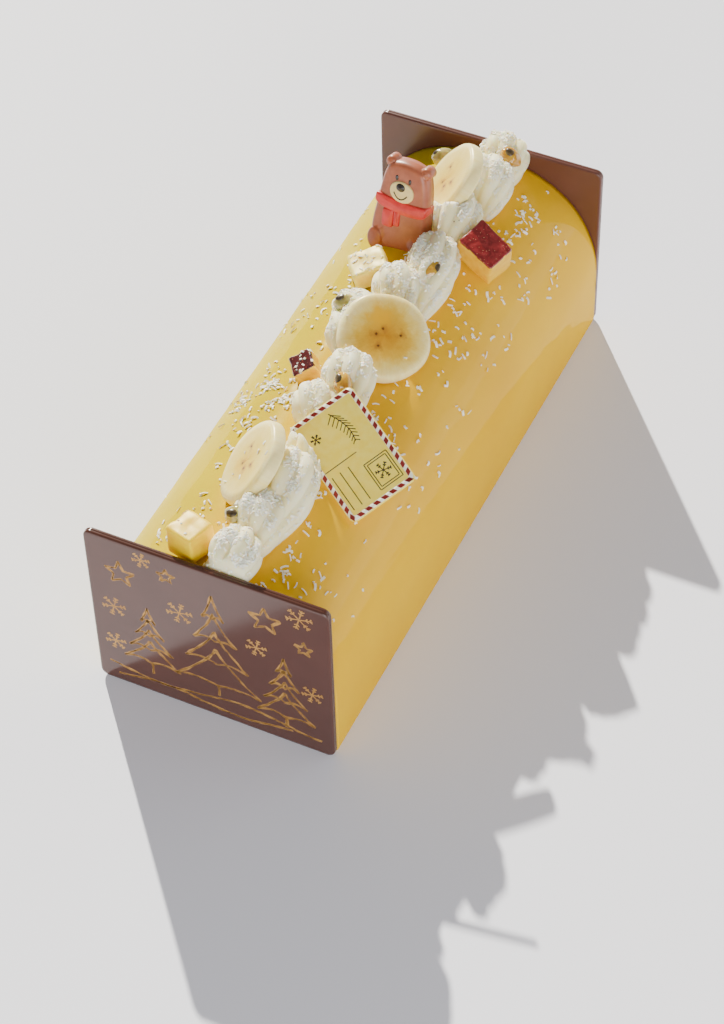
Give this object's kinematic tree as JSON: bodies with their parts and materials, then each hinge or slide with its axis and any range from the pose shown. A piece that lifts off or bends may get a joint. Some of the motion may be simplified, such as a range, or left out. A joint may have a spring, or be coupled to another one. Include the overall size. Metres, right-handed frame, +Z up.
{
  "type": "yule log cake",
  "caption": "Arched yule log cake with a yellow glaze, a row of piped cream with fruit and a chocolate bear along the top, and a flat plate closing each end.",
  "frame": {"origin": "on the table, under the middle of the cake's bounding box", "axes": "+Y along the log from the front plate to the back plate, +X across it, +Z up"},
  "size_m": [0.092, 0.24, 0.1039],
  "materials": {
    "glaze": "wet mirror glaze on a cake",
    "plate_chocolate": "semi-gloss milk chocolate",
    "cream": "soft whipped cream",
    "yellow_fruit": "moist cut fruit",
    "fruit_pulp": "wet pulp around a dark seed",
    "banana": "glazed banana flesh",
    "card": "smooth printed ivory chocolate",
    "red_fruit": "moist fruit skin",
    "bear_chocolate": "satin milk chocolate"
  },
  "bodies": {
    "root": {"log": "glaze", "end_plate_front": "plate_chocolate", "end_plate_back": "plate_chocolate", "cream": "cream", "fruit_cube_front": "yellow_fruit", "seed_front": "fruit_pulp", "banana_front": "banana", "card": "card", "seed_card": "fruit_pulp", "red_cube_left": "red_fruit", "banana_middle": "banana", "seed_left": "fruit_pulp", "fruit_cube_bear": "yellow_fruit", "bear": "bear_chocolate", "seed_middle": "fruit_pulp", "red_cube_right": "red_fruit", "banana_back": "banana", "seed_left_back": "fruit_pulp", "seed_back": "fruit_pulp"}
  },
  "joints": []
}
